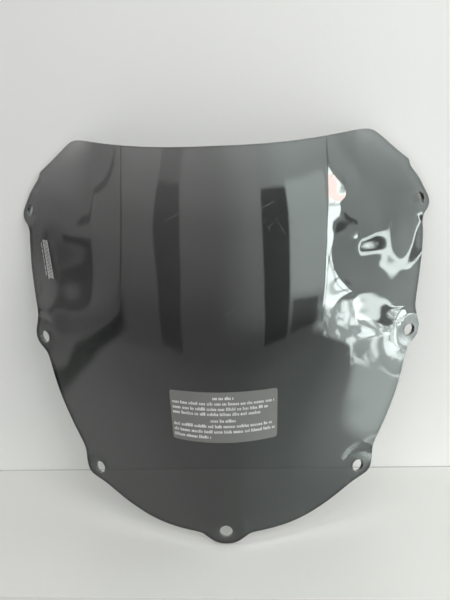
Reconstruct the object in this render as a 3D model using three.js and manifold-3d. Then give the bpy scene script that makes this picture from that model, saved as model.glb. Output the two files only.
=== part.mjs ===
// Windshield screen for a sport motorcycle: one thermoformed sheet of smoke
// acrylic with seven fastening holes, a printed film stuck low on its outer
// face, and a small printed mark near its left edge.
//
// Millimetres, +Z up, +X to the viewer's right, the outer (convex) face looks
// along -Y. The screen stands on its lower tip and leans back a little, and the
// origin is the bottom centre of its bounding box.
import * as THREE from "three";
import Module from "manifold-3d";

const { clamp } = THREE.MathUtils;

// ---------------------------------------------------------------- dimensions
const THICKNESS = 3; // sheet
const HOLE_D = 10; // fastening holes, clearance for the rubber of an M5 well nut
const HOLE_SIDES = 28;
const LAND_FLAT_R = 12; // flat land round each hole
const LAND_BLEND_R = 21; // where the land has blended into the moulded surface

// Hole centres on the outer face, [x, z]. Those off the centre line are mirrored.
const HOLE_CENTRES = [
  [165.6, 255.4], // upper
  [150.6, 153.0], // middle
  [107.9, 43.0], // lower
  [0, 10.6], // tip
];

// Right half of the trimmed edge on the outer face, from the middle of the top
// edge, round the wing and down to the tip: [x, z].
const EDGE = [
  [0, 302.4], [20, 302.5], [40, 303.1], [60, 304.5], [80, 306.8], [95, 309.1],
  [107, 311.1], [115, 312.1], [120.5, 312.2], [125.2, 311.2], [129.4, 308.9],
  [134.0, 305.4], [139.9, 300.3], [145.2, 295.8], [150.5, 291.6], [154.8, 288.4],
  [156.7, 286.4], [157.0, 284.0], [157.9, 281.2], [160.4, 277.9], [163.5, 274.1],
  [166.2, 270.0], [168.5, 266.0], [170.9, 262.0], [173.2, 258.0], [174.7, 254.6],
  [175.1, 251.4], [174.4, 248.4], [172.5, 245.8], [169.7, 243.2], [167.6, 240.8],
  [166.8, 237.6], [166.9, 231.0], [166.6, 222.0], [165.1, 211.0], [162.5, 200.0],
  [160.2, 190.0], [158.4, 182.0], [157.2, 176.6], [156.7, 172.4], [156.8, 168.6],
  [157.5, 164.8], [158.6, 161.2], [159.5, 157.6], [159.8, 153.8], [159.3, 150.4],
  [157.8, 147.0], [155.0, 143.8], [152.2, 141.2], [150.2, 138.4], [148.9, 135.0],
  [147.6, 130.0], [145.8, 122.0], [143.4, 112.0], [140.1, 100.0], [135.8, 88.0],
  [130.9, 76.0], [126.2, 66.6], [123.2, 60.6], [121.8, 56.8], [121.2, 52.4],
  [121.0, 48.0], [120.5, 43.6], [119.4, 39.6], [117.3, 36.4], [113.6, 34.2],
  [108.8, 32.4], [103.2, 30.2], [97.4, 27.4], [91.8, 24.4], [86.0, 21.4],
  [80.0, 18.6], [73.2, 15.9], [65.4, 13.2], [57.0, 11.1], [47.8, 9.6],
  [38.0, 8.8], [29.0, 8.4], [22.6, 8.1], [18.6, 7.4], [15.4, 5.9],
  [12.4, 3.9], [9.4, 2.0], [6.2, 0.7], [3.0, 0.1], [0, 0],
];
const EDGE_POINTS = 236; // evenly spaced round the whole edge
const EDGE_LENGTH_SAMPLES = 4000; // for measuring the edge's length

// Control net of the base surface of the outer face: depth y for a uniform
// bicubic B-spline. Rows are stations of |x| every NET_DX from the centre line
// outwards, columns are heights every NET_DZ, the second of them at NET_Z0.
const NET_DX = 20;
const NET_DZ = 30;
const NET_Z0 = -10;
const NET = [
  [0.61, -1.61, 0.37, 2.04, 3.90, 6.10, 8.52, 11.04, 14.23, 18.62, 24.62, 32.11, 40.88, 49.97, 58.62],
  [1.29, 0.72, 2.88, 4.76, 6.02, 7.30, 9.33, 12.03, 15.17, 19.14, 25.02, 33.33, 43.07, 51.69, 59.15],
  [3.65, 6.68, 9.87, 11.96, 12.09, 11.47, 11.99, 14.40, 17.65, 21.82, 27.71, 35.46, 44.99, 54.34, 61.27],
  [7.90, 14.10, 18.57, 20.99, 20.51, 18.33, 17.06, 18.79, 21.94, 25.64, 31.32, 39.93, 50.81, 59.46, 66.52],
  [13.71, 22.05, 27.57, 30.32, 29.99, 27.11, 24.34, 24.29, 27.54, 31.90, 37.62, 45.70, 54.82, 65.44, 77.78],
  [20.59, 29.70, 35.94, 40.06, 39.97, 36.39, 33.18, 32.93, 35.63, 38.28, 43.25, 53.70, 66.26, 80.42, 97.54],
  [28.41, 37.57, 44.70, 50.03, 50.21, 46.58, 43.95, 44.26, 44.35, 43.16, 45.75, 60.30, 83.17, 103.20, 126.15],
  [37.61, 47.19, 54.75, 59.61, 60.19, 57.31, 55.39, 56.35, 52.44, 49.16, 50.76, 62.24, 89.26, 122.29, 160.63],
  [48.68, 58.67, 65.87, 69.89, 70.59, 69.18, 68.83, 69.20, 61.97, 55.19, 54.93, 61.03, 90.10, 136.55, 194.87],
  [61.74, 71.87, 78.63, 82.22, 83.42, 83.50, 83.01, 79.53, 70.48, 61.51, 60.29, 69.79, 99.59, 151.54, 223.61],
  [76.53, 86.93, 93.84, 97.60, 98.97, 98.35, 94.96, 87.76, 78.16, 70.62, 71.38, 85.48, 117.15, 169.96, 245.12],
  [92.89, 104.07, 111.97, 116.37, 116.76, 112.66, 104.49, 94.31, 85.61, 82.50, 88.87, 107.94, 141.84, 192.04, 259.57],
];

// Bend line down each side of the bubble: the sheet turns from the shallow arch
// of the bubble into the wing over a narrow band.
const BEND_X = 76; // inner crease of the band
const BEND_W = 20; // its width
const BEND_SLOPE = 0.36; // slope gained across it
const BEND_Z = [150, 235]; // the bend fades in between these heights

// Fold under each wing, sweeping from the bend down and out to the side edge:
// above it the wing twists back.
const FOLD_TWIST = 0.0036; // slope gained per mm of height above the fold
const FOLD_W = 22;
const FOLD_X = 96; // the sweep starts here
const FOLD_Z = 247; // height before the sweep
const FOLD_SWEEP = 0.62; // drop in z per mm in x

// Shallow flute between the side of the bubble and the side flange.
const FLUTE_DEPTH = 1.5;
const FLUTE_X = 140;
const FLUTE_W = 11;
const FLUTE_START_Z = [105, 160]; // fades in between these heights
const FLUTE_END_Z = [225, 262]; // and out between these

// Films on the outer face. Each has its own flat axes: `across` its width and
// `up` its height, measured from its middle.
const FILM_GAP = 0.3; // clearance between a film and the sheet
const LABEL = {
  width: 80.5,
  height: 39.8,
  corner: 2,
  thickness: 0.25,
  columns: 26,
  rows: 10,
};
const LABEL_AT = [1.2, 104.9]; // [x, z]
const LABEL_RISE = 1.4; // its ends sit this much higher than its middle
const LABEL_TAPER = 0.0007; // wrapped on the nose, it narrows downwards per mm

const MARK = {
  width: 10.5,
  height: 33.5,
  corner: 1.2,
  thickness: 0.2,
  columns: 6,
  rows: 16,
};
const MARK_AT = [-146.4, 216.3]; // [x, z]
const MARK_TILT = 0.19; // its foot leans towards the centre line, radians

// ------------------------------------------------------------------- surface
// Smooth step from 0 at `start` to 1 at `end`.
function ease(start, end, value) {
  const t = clamp((value - start) / (end - start), 0, 1);
  return t * t * t * (t * (6 * t - 15) + 10);
}

// A slope that grows from 0 to 1 over the width, integrated.
function ramp(distance, width) {
  const inBand = clamp(distance, 0, width);
  return (inBand * inBand) / (2 * width) + Math.max(0, distance - width);
}

// Weights of the four control values round a span of a uniform cubic B-spline.
const splineWeights = (t) => [
  (1 - t) ** 3 / 6,
  (3 * t ** 3 - 6 * t ** 2 + 4) / 6,
  (-3 * t ** 3 + 3 * t ** 2 + 3 * t + 1) / 6,
  t ** 3 / 6,
];

function netDepth(fromCentre, z) {
  const row = fromCentre / NET_DX;
  const column = (z - NET_Z0) / NET_DZ;
  const row0 = clamp(Math.floor(row), 0, NET.length - 3);
  const column0 = clamp(Math.floor(column), 0, NET[0].length - 4);
  const rowWeights = splineWeights(row - row0);
  const columnWeights = splineWeights(column - column0);
  let y = 0;
  for (let i = 0; i < 4; i++) {
    // the row before the centre line mirrors the one after it
    const netRow = NET[Math.abs(row0 - 1 + i)];
    for (let j = 0; j < 4; j++)
      y += rowWeights[i] * columnWeights[j] * netRow[column0 + j];
  }
  return y;
}

// Moulded outer face, before the hole lands.
function mouldedDepth(x, z) {
  const fromCentre = Math.abs(x);
  const foldZ = FOLD_Z - FOLD_SWEEP * Math.max(0, fromCentre - FOLD_X);
  const turn =
    BEND_SLOPE * ease(...BEND_Z, z) +
    FOLD_TWIST * ramp(z - foldZ + FOLD_W / 2, FOLD_W);
  const flute =
    FLUTE_DEPTH *
    Math.exp(-(((fromCentre - FLUTE_X) / FLUTE_W) ** 2)) *
    ease(...FLUTE_START_Z, z) *
    (1 - ease(...FLUTE_END_Z, z));
  return netDepth(fromCentre, z) + turn * ramp(fromCentre - BEND_X, BEND_W) + flute;
}

const SLOPE_STEP = 0.05; // half the span over which a slope is taken

// Slopes dy/dx and dy/dz of a depth function.
function slopes(depth, x, z) {
  const span = 2 * SLOPE_STEP;
  return [
    (depth(x + SLOPE_STEP, z) - depth(x - SLOPE_STEP, z)) / span,
    (depth(x, z + SLOPE_STEP) - depth(x, z - SLOPE_STEP)) / span,
  ];
}

// Each hole sits in a flat land, tangent to the moulded face at its centre.
function holeAt(x, z) {
  const [slopeX, slopeZ] = slopes(mouldedDepth, x, z);
  return { x, z, y: mouldedDepth(x, z), slopeX: x === 0 ? 0 : slopeX, slopeZ };
}

const HOLES = HOLE_CENTRES.flatMap(([x, z]) =>
  x === 0 ? [holeAt(x, z)] : [holeAt(-x, z), holeAt(x, z)],
);

// Finished outer face, with the hole lands.
function outerDepth(x, z) {
  let y = mouldedDepth(x, z);
  for (const hole of HOLES) {
    const dx = x - hole.x;
    const dz = z - hole.z;
    const dy = hole.slopeX * dx + hole.slopeZ * dz;
    const radius = Math.hypot(dx, dy, dz);
    if (radius < LAND_BLEND_R)
      y += (1 - ease(LAND_FLAT_R, LAND_BLEND_R, radius)) * (hole.y + dy - y);
  }
  return y;
}

// Point [x, y, z] at (x, z) of the outer face, moved by `inward` mm along the
// face's normal into the sheet (a negative value stands proud of the face).
function onSheet(x, z, inward) {
  const [slopeX, slopeZ] = slopes(outerDepth, x, z);
  const length = Math.hypot(slopeX, 1, slopeZ);
  return [
    x - (inward * slopeX) / length,
    outerDepth(x, z) + inward / length,
    z - (inward * slopeZ) / length,
  ];
}

// --------------------------------------------------------------- flat outlines
// The trimmed edge as one closed loop in (x, z), clockwise seen along +Y.
function edgeLoop() {
  const right = EDGE.map(([x, z]) => new THREE.Vector3(x, 0, z));
  const left = right
    .slice(1, -1)
    .reverse()
    .map((p) => new THREE.Vector3(-p.x, 0, p.z));
  const curve = new THREE.CatmullRomCurve3([...right, ...left], true, "centripetal");
  curve.arcLengthDivisions = EDGE_LENGTH_SAMPLES;
  // the last spaced point repeats the first
  return curve.getSpacedPoints(EDGE_POINTS).slice(0, EDGE_POINTS);
}

// A round hole square to its land, as it appears in (x, z).
function holeLoop({ x, z, slopeX, slopeZ }) {
  const normal = new THREE.Vector3(slopeX, -1, slopeZ).normalize();
  const across = new THREE.Vector3(1, slopeX, 0).normalize();
  const up = new THREE.Vector3().crossVectors(normal, across);
  const radius = HOLE_D / 2;
  return Array.from({ length: HOLE_SIDES }, (_, k) => {
    const angle = (2 * Math.PI * k) / HOLE_SIDES;
    const cos = Math.cos(angle);
    const sin = Math.sin(angle);
    return new THREE.Vector3(
      x + radius * (cos * across.x + sin * up.x),
      0,
      z + radius * (cos * across.z + sin * up.z),
    );
  });
}

// --------------------------------------------------------------- mesh helpers
const manifold = await Module();
manifold.setup();

function solid(vertices, triangles) {
  return new manifold.Manifold(
    new manifold.Mesh({
      numProp: 3,
      vertProperties: new Float32Array(vertices),
      triVerts: new Uint32Array(triangles),
    }),
  );
}

function geometryOf(vertices, triangles) {
  const geometry = new THREE.BufferGeometry();
  geometry.setAttribute("position", new THREE.Float32BufferAttribute(vertices, 3));
  geometry.setIndex(triangles);
  geometry.computeVertexNormals();
  return geometry;
}

// A prism along Y with the given (x, z) loop as its section.
function prism(loop, y0, y1) {
  const flat = loop.map((p) => new THREE.Vector2(p.x, p.z));
  if (THREE.ShapeUtils.isClockWise(flat)) flat.reverse();
  const n = flat.length;
  const vertices = [];
  for (const y of [y0, y1])
    for (const p of flat) vertices.push(p.x, y, p.y);
  const triangles = [];
  for (const [a, b, c] of THREE.ShapeUtils.triangulateShape(flat, [])) {
    triangles.push(a, b, c);
    triangles.push(a + n, c + n, b + n);
  }
  for (let i = 0; i < n; i++) {
    const j = (i + 1) % n;
    triangles.push(i, i + n, j, j, i + n, j + n);
  }
  return solid(vertices, triangles);
}

// Triangles of a closed slab made of two grids of nx by nz points: the outer
// one, looking along -Y, then the inner one. Points run along +X, then up.
// `risesRight(i)` tells whether the diagonals of column i rise towards +X.
function slabTriangles(nx, nz, risesRight = () => true) {
  const inner = nx * nz; // index offset of the inner grid
  const triangles = [];
  for (let j = 0; j + 1 < nz; j++)
    for (let i = 0; i + 1 < nx; i++) {
      const a = j * nx + i;
      const b = a + 1;
      const d = a + nx;
      const c = d + 1;
      const halves = risesRight(i) ? [[a, b, c], [a, c, d]] : [[a, b, d], [b, c, d]];
      for (const half of halves) triangles.push(...half);
      for (const [p, q, r] of halves) triangles.push(p + inner, r + inner, q + inner);
    }
  const rim = (a, b) => triangles.push(a, a + inner, b, b, a + inner, b + inner);
  const top = (nz - 1) * nx;
  for (let i = 0; i + 1 < nx; i++) rim(i, i + 1);
  for (let j = 0; j + 1 < nz; j++) rim(j * nx + nx - 1, (j + 1) * nx + nx - 1);
  for (let i = nx - 1; i > 0; i--) rim(top + i, top + i - 1);
  for (let j = nz - 1; j > 0; j--) rim(j * nx, (j - 1) * nx);
  return triangles;
}

// -------------------------------------------------------------- screen_panel
// The sheet is trimmed and drilled flat, on a mesh bowed just enough to keep
// its facets apart, then every point is carried to the moulded surface, so the
// edges and the hole walls end square to it.
const BOW = 0.001;
const BOW_CENTRE_Z = 150;
const bow = (x, z) => BOW * (x * x + (z - BOW_CENTRE_Z) ** 2);

const CUT_Y = [-60, 160]; // reach of the trimming and drilling prisms

// Grid lines of the slab: x right of the centre line, closest over the bend.
const RIGHT_STATIONS = [
  9.5, 19, 28.5, 38, 47.5, 57, 66.5, 76, 81, 86, 91, 96, 104, 112,
  120.5, 129, 137.5, 146, 154.5, 163, 171.5, 181,
];
const GRID_Z = [-6, 320]; // lowest line, and a limit for the highest
const GRID_DZ = 8.15;

function bowedSlab() {
  const stations = [0, ...RIGHT_STATIONS, ...RIGHT_STATIONS.map((x) => -x)];
  stations.sort((a, b) => a - b);
  const heights = [];
  for (let z = GRID_Z[0]; z <= GRID_Z[1]; z += GRID_DZ) heights.push(z);

  const vertices = [];
  for (const y of [0, THICKNESS])
    for (const z of heights)
      for (const x of stations) vertices.push(x, y + bow(x, z), z);
  // the diagonals mirror about the centre line
  const risesRight = (i) => stations[i] >= 0;
  return solid(vertices, slabTriangles(stations.length, heights.length, risesRight));
}

function panelGeometry() {
  let sheet = bowedSlab().intersect(prism(edgeLoop(), ...CUT_Y));
  for (const hole of HOLES) sheet = sheet.subtract(prism(holeLoop(hole), ...CUT_Y));
  const mesh = sheet.getMesh();
  const vertices = [];
  for (let i = 0; i < mesh.numVert; i++) {
    const start = i * mesh.numProp;
    const [x, y, z] = mesh.vertProperties.subarray(start, start + 3);
    const isInner = y - bow(x, z) > THICKNESS / 2;
    vertices.push(...onSheet(x, z, isInner ? THICKNESS : 0));
  }
  return geometryOf(vertices, [...mesh.triVerts]);
}

// ---------------------------------------------------------------------- films
// Pulls a point of a film's corner square in on to the corner radius.
function roundCorner(across, up, { width, height, corner }) {
  const arcAcross = width / 2 - corner;
  const arcUp = height / 2 - corner;
  const pastAcross = Math.abs(across) - arcAcross;
  const pastUp = Math.abs(up) - arcUp;
  if (pastAcross <= 0 || pastUp <= 0) return [across, up];
  const pull = Math.max(pastAcross, pastUp) / Math.hypot(pastAcross, pastUp);
  return [
    Math.sign(across) * (arcAcross + pastAcross * pull),
    Math.sign(up) * (arcUp + pastUp * pull),
  ];
}

// A thin film following the outer face. `place` maps (across, up) to [x, z].
function filmGeometry(film, place) {
  const { width, height, thickness, columns, rows } = film;
  const vertices = [];
  for (const inward of [-FILM_GAP - thickness, -FILM_GAP])
    for (let j = 0; j <= rows; j++)
      for (let i = 0; i <= columns; i++) {
        const across = (i / columns - 0.5) * width;
        const up = (j / rows - 0.5) * height;
        const [x, z] = place(...roundCorner(across, up, film));
        vertices.push(...onSheet(x, z, inward));
      }
  return geometryOf(vertices, slabTriangles(columns + 1, rows + 1));
}

const placeOnLabel = (across, up) => [
  LABEL_AT[0] + across * (1 + LABEL_TAPER * up),
  LABEL_AT[1] + up + LABEL_RISE * (across / (LABEL.width / 2)) ** 2 - LABEL_RISE / 2,
];

const placeOnMark = (across, up) => [
  MARK_AT[0] + across * Math.cos(MARK_TILT) - up * Math.sin(MARK_TILT),
  MARK_AT[1] + up * Math.cos(MARK_TILT) + across * Math.sin(MARK_TILT),
];

// ------------------------------------------------------------------ materials
const smokeAcrylic = new THREE.MeshStandardMaterial({
  color: 0x2b2e2d, // near-black grey
  roughness: 0.06,
  metalness: 0,
  transparent: true,
  opacity: 0.9,
});
const labelFilm = new THREE.MeshStandardMaterial({
  color: 0x6e706c, // mid grey
  roughness: 0.45,
  metalness: 0,
});
const printedInk = new THREE.MeshStandardMaterial({
  color: 0xd9dbd8, // pale grey
  roughness: 0.5,
  metalness: 0,
});

// ------------------------------------------------------------------- assembly
function piece(name, geometry, material) {
  const mesh = new THREE.Mesh(geometry, material);
  mesh.name = name;
  return mesh;
}

const panel = piece("screen_panel", panelGeometry(), smokeAcrylic);
const label = piece("info_label", filmGeometry(LABEL, placeOnLabel), labelFilm);
const mark = piece("side_mark", filmGeometry(MARK, placeOnMark), printedInk);

// Every piece is shifted so that the origin is the bottom centre of the sheet's
// bounding box.
panel.geometry.computeBoundingBox();
const box = panel.geometry.boundingBox;
const origin = box.getCenter(new THREE.Vector3()).setZ(box.min.z);
const group = new THREE.Group();
for (const mesh of [panel, label, mark]) {
  mesh.position.copy(origin).negate();
  group.add(mesh);
}

export default group;
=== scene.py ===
# The windshield screen: one moulded sheet of smoke acrylic, with an information
# film on its outer face and a small printed mark near its left edge.
# The outer face looks towards -Y, +X is right and +Z is up. The sheet is worked out
# in millimetres in the "tip frame", whose origin is the outer edge of the lower tip,
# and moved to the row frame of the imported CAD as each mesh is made.
import bpy
import math
import numpy as np
from mathutils import Matrix, Vector
from mathutils.geometry import delaunay_2d_cdt


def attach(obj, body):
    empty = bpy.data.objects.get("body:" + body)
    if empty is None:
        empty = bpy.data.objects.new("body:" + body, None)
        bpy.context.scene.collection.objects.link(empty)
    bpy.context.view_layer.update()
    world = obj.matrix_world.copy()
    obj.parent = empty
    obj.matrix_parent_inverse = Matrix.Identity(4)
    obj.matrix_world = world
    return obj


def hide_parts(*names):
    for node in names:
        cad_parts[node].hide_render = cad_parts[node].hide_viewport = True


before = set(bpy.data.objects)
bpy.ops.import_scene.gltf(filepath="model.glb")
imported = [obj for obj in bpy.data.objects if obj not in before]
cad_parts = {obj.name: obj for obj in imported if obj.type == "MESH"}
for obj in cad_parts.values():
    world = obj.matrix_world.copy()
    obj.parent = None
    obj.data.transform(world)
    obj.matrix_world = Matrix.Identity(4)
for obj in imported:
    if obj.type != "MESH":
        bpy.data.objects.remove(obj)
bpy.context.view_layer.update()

MM = 0.001
TIP = np.array([0.0, 55.7938, -0.1784])  # row frame = tip frame - TIP

# ------------------------------------------------------------- sheet numbers
THICKNESS = 3.0
TRIM = 0.22  # the outline is taken in by this much
EDGE_ROUND, HOLE_ROUND = 0.75, 0.35  # rounding of the outer edge and of the hole edges
EDGE_STEPS, HOLE_STEPS = 4, 3  # rings in each of those roundings
EDGE_SPACING = 1.25

HOLE_D = 10.0
HOLE_POINTS = 56
PAD_FLAT_R, PAD_BLEND_R = 12.0, 21.0  # flat pad round each hole, and where it has faded out
HOLE_CENTRES = [(165.6, 255.4), (150.6, 153.0), (107.9, 43.0), (0.0, 10.6)]  # x, z; mirrored

# Outline as x, z: from the middle of the top down the right side to the lower tip.
EDGE = [
    (0, 302.4), (20, 302.5), (40, 303.1), (60, 304.5), (80, 306.8), (95, 309.1),
    (107, 311.1), (115, 312.1), (120.5, 312.2), (125.2, 311.2), (129.4, 308.9),
    (134.0, 305.4), (139.9, 300.3), (145.2, 295.8), (150.5, 291.6), (154.8, 288.4),
    (156.7, 286.4), (157.0, 284.0), (157.9, 281.2), (160.4, 277.9), (163.5, 274.1),
    (166.2, 270.0), (168.5, 266.0), (170.9, 262.0), (173.2, 258.0), (174.7, 254.6),
    (175.1, 251.4), (174.4, 248.4), (172.5, 245.8), (169.7, 243.2), (167.6, 240.8),
    (166.8, 237.6), (166.9, 231.0), (166.6, 222.0), (165.1, 211.0), (162.5, 200.0),
    (160.2, 190.0), (158.4, 182.0), (157.2, 176.6), (156.7, 172.4), (156.8, 168.6),
    (157.5, 164.8), (158.6, 161.2), (159.5, 157.6), (159.8, 153.8), (159.3, 150.4),
    (157.8, 147.0), (155.0, 143.8), (152.2, 141.2), (150.2, 138.4), (148.9, 135.0),
    (147.6, 130.0), (145.8, 122.0), (143.4, 112.0), (140.1, 100.0), (135.8, 88.0),
    (130.9, 76.0), (126.2, 66.6), (123.2, 60.6), (121.8, 56.8), (121.2, 52.4),
    (121.0, 48.0), (120.5, 43.6), (119.4, 39.6), (117.3, 36.4), (113.6, 34.2),
    (108.8, 32.4), (103.2, 30.2), (97.4, 27.4), (91.8, 24.4), (86.0, 21.4),
    (80.0, 18.6), (73.2, 15.9), (65.4, 13.2), (57.0, 11.1), (47.8, 9.6),
    (38.0, 8.8), (29.0, 8.4), (22.6, 8.1), (18.6, 7.4), (15.4, 5.9),
    (12.4, 3.9), (9.4, 2.0), (6.2, 0.7), (3.0, 0.1), (0, 0),
]

# Depth (+Y) of the moulded face: spline control net. A row for each NET_DX of
# distance from the middle plane, a column for each NET_DZ of height from NET_Z0.
NET_DX, NET_DZ, NET_Z0 = 20.0, 30.0, -10.0
NET = np.array([
    [0.61, -1.61, 0.37, 2.04, 3.90, 6.10, 8.52, 11.04, 14.23, 18.62, 24.62, 32.11, 40.88, 49.97, 58.62],
    [1.29, 0.72, 2.88, 4.76, 6.02, 7.30, 9.33, 12.03, 15.17, 19.14, 25.02, 33.33, 43.07, 51.69, 59.15],
    [3.65, 6.68, 9.87, 11.96, 12.09, 11.47, 11.99, 14.40, 17.65, 21.82, 27.71, 35.46, 44.99, 54.34, 61.27],
    [7.90, 14.10, 18.57, 20.99, 20.51, 18.33, 17.06, 18.79, 21.94, 25.64, 31.32, 39.93, 50.81, 59.46, 66.52],
    [13.71, 22.05, 27.57, 30.32, 29.99, 27.11, 24.34, 24.29, 27.54, 31.90, 37.62, 45.70, 54.82, 65.44, 77.78],
    [20.59, 29.70, 35.94, 40.06, 39.97, 36.39, 33.18, 32.93, 35.63, 38.28, 43.25, 53.70, 66.26, 80.42, 97.54],
    [28.41, 37.57, 44.70, 50.03, 50.21, 46.58, 43.95, 44.26, 44.35, 43.16, 45.75, 60.30, 83.17, 103.20, 126.15],
    [37.61, 47.19, 54.75, 59.61, 60.19, 57.31, 55.39, 56.35, 52.44, 49.16, 50.76, 62.24, 89.26, 122.29, 160.63],
    [48.68, 58.67, 65.87, 69.89, 70.59, 69.18, 68.83, 69.20, 61.97, 55.19, 54.93, 61.03, 90.10, 136.55, 194.87],
    [61.74, 71.87, 78.63, 82.22, 83.42, 83.50, 83.01, 79.53, 70.48, 61.51, 60.29, 69.79, 99.59, 151.54, 223.61],
    [76.53, 86.93, 93.84, 97.60, 98.97, 98.35, 94.96, 87.76, 78.16, 70.62, 71.38, 85.48, 117.15, 169.96, 245.12],
    [92.89, 104.07, 111.97, 116.37, 116.76, 112.66, 104.49, 94.31, 85.61, 82.50, 88.87, 107.94, 141.84, 192.04, 259.57],
])

# Extra turn of each flank: two tight creases with a nearly flat strip between them.
BEND_X = 76.0
BEND_TURNS = [(0.515, -1.0, 2.6), (0.20, 0.0, 26.0), (0.285, 24.5, 3.4)]  # share, start, width
BEND_SLOPE, BEND_RISE = 0.36, (150.0, 235.0)  # full slope, and the heights over which it grows
BEND_DRIFT, DRIFT_RISE = 5.0, (135, 275)  # sideways wander of both creases towards the top
WING_X, WING_BLEND = 166.0, (60, 130)  # the wings stay in place at WING_X despite the drift

# Fold across the top, swept down outside FOLD_X, which turns the flanks further.
FOLD_TWIST, FOLD_W, FOLD_X, FOLD_Z, FOLD_SWEEP = 0.0036, 22.0, 96.0, 247.0, 0.62
# Shallow upright flute on each wing, fading in and out over these heights.
FLUTE_DEPTH, FLUTE_X, FLUTE_W, FLUTE_Z = 1.5, 140.0, 11.0, (105.0, 160.0, 225.0, 262.0)

# Forming ripple of the right flank: spline control net of extra depth. A row for
# each step in x, a column for each step in z.
RIPPLE_X0, RIPPLE_Z0, RIPPLE_STEP = 84.0, 148.0, 8.0
RIPPLE = np.array([
    [0, 0, 0, 0, 0, 0, 0, 0, 0, 0, 0, 0, 0, 0, 0, 0, 0, 0],
    [0, 0, 0, 0, 0, 0, 0, 0, 0, 0, 0, 0, 0, 0, 0, 0, 0, 0],
    [0, 0, 0.01, 0.03, 0.09, 0.12, -0.22, -0.35, 0.24, 0.45, 0.73, 0.55, 0.20, 0.48, -0.37, -0.65, 0, 0],
    [0, 0, 0.02, 0.08, 0.18, 0.21, -0.34, -0.40, 0.39, 0.57, 1.05, 0.65, 0.71, 0.42, 0.03, -0.06, 0, 0],
    [0, 0, 0.04, 0.12, 0.31, 0.37, -0.34, -0.58, 0.21, 0.58, 0.76, 0.40, 0.60, 0.47, 0.51, 0.44, 0, 0],
    [0, 0, -0.01, 0.20, 0.58, 0.52, -0.11, -0.40, 0.09, 0.19, 0.56, 0.22, 0.33, 0.44, 0.53, 0.52, 0, 0],
    [0, 0, -0.33, 0.39, 1.05, 0.70, 0.26, 0.06, 0.04, -0.24, 0.35, 0.07, 0.07, 0.27, 0.47, 0.45, 0, 0],
    [0, 0, -0.78, 1.00, 0.99, 0.49, 0.41, 0.02, -0.44, -0.80, -0.74, -0.53, 0.06, 0.51, 0.57, 0.33, 0, 0],
    [0, 0, -0.31, 1.17, -0.35, -0.02, 0.44, -0.34, -1.32, -1.96, -1.85, -1.04, 0.13, 0.69, 0.52, 0.20, 0, 0],
    [0, 0, 0.88, 2.13, -0.24, 0.11, 0.64, -0.16, -1.27, -2.22, -2.33, -1.51, -0.06, 0.68, 0.48, 0.16, 0, 0],
    [0, 0, 1.04, 1.96, 0.75, 0.95, 0.94, 0.45, 0, -1.14, -1.94, -1.62, -0.47, 0.46, 0.45, 0.16, 0, 0],
    [0, 0, 0.60, 1.12, 0.80, 0.77, 0.84, 0.66, 0.64, 0.04, -0.82, -1.01, -0.51, 0.08, 0.23, 0.11, 0, 0],
    [0, 0, 0.17, 0.32, 0.35, 0.33, 0.35, 0.37, 0.40, 0.23, -0.10, -0.29, -0.23, -0.06, 0.04, 0.03, 0, 0],
    [0, 0, -0.07, -0.12, -0.08, -0.05, -0.03, 0.02, 0.08, 0.15, 0.19, 0.13, 0.03, -0.04, -0.05, -0.02, 0, 0],
    [0, 0, -0.31, -0.55, -0.50, -0.43, -0.41, -0.33, -0.25, 0.07, 0.47, 0.56, 0.29, -0.03, -0.14, -0.08, 0, 0],
])

# Columns and rows of the inner mesh points as start, stop, step; finest at the creases.
GRID_X = [(0, 66.5, 3.0), (68, 85, 0.95), (86, 94, 2.0), (95, 110, 1.2), (111.5, 177, 2.6)]
GRID_Z = (1.3, 313, 2.9)
GRID_GAP = 1.15  # least distance from an inner point to a border point


# -------------------------------------------------------------- sheet surface
def ease(start, end, value):
    """Smooth 0 to 1 from start to end, level at both ends."""
    t = np.clip((value - start) / (end - start), 0, 1)
    return t * t * t * (t * (6 * t - 15) + 10)


def ramp(distance, width):
    """0 below zero, slope 1 past width, and a parabola between."""
    s = np.clip(distance, 0, width)
    return s * s / (2 * width) + np.maximum(0, distance - width)


def bend_profile(across):
    return sum(share * ramp(across - BEND_X - start, width) for share, start, width in BEND_TURNS)


def bend(x, z):
    drift = BEND_DRIFT * ease(*DRIFT_RISE, z) * np.sign(x)
    across = np.abs(x)
    whole = bend_profile(WING_X) / bend_profile(WING_X - drift)
    return bend_profile(across - drift) * (1 + (whole - 1) * ease(*WING_BLEND, across))


def spline(t):
    """Weights of four neighbouring control points of a cubic B-spline."""
    return ((1 - t) ** 3 / 6, (3 * t ** 3 - 6 * t ** 2 + 4) / 6,
            (-3 * t ** 3 + 3 * t ** 2 + 3 * t + 1) / 6, t ** 3 / 6)


def net_depth(across, z):
    a, b = across / NET_DX, (z - NET_Z0) / NET_DZ
    row0 = np.clip(np.floor(a), 0, NET.shape[0] - 3).astype(int)
    col0 = np.clip(np.floor(b), 0, NET.shape[1] - 4).astype(int)
    row_weights, col_weights = spline(a - row0), spline(b - col0)
    y = 0.0
    for i in range(4):
        for j in range(4):
            y = y + row_weights[i] * col_weights[j] * NET[np.abs(row0 - 1 + i), col0 + j]
    return y


def moulded(x, z):
    """Depth of the outer face before the ripple and the hole pads."""
    x, z = np.broadcast_arrays(np.asarray(x, float), np.asarray(z, float))
    across = np.abs(x)
    fold_z = FOLD_Z - FOLD_SWEEP * np.maximum(across - FOLD_X, 0)
    fold = FOLD_TWIST * ramp(z - fold_z + FOLD_W / 2, FOLD_W)
    turn = BEND_SLOPE * ease(*BEND_RISE, z) + fold
    flute = FLUTE_DEPTH * np.exp(-(((across - FLUTE_X) / FLUTE_W) ** 2))
    flute = flute * ease(*FLUTE_Z[:2], z) * (1 - ease(*FLUTE_Z[2:], z))
    return net_depth(across, z) + turn * bend(x, z) + flute


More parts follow.
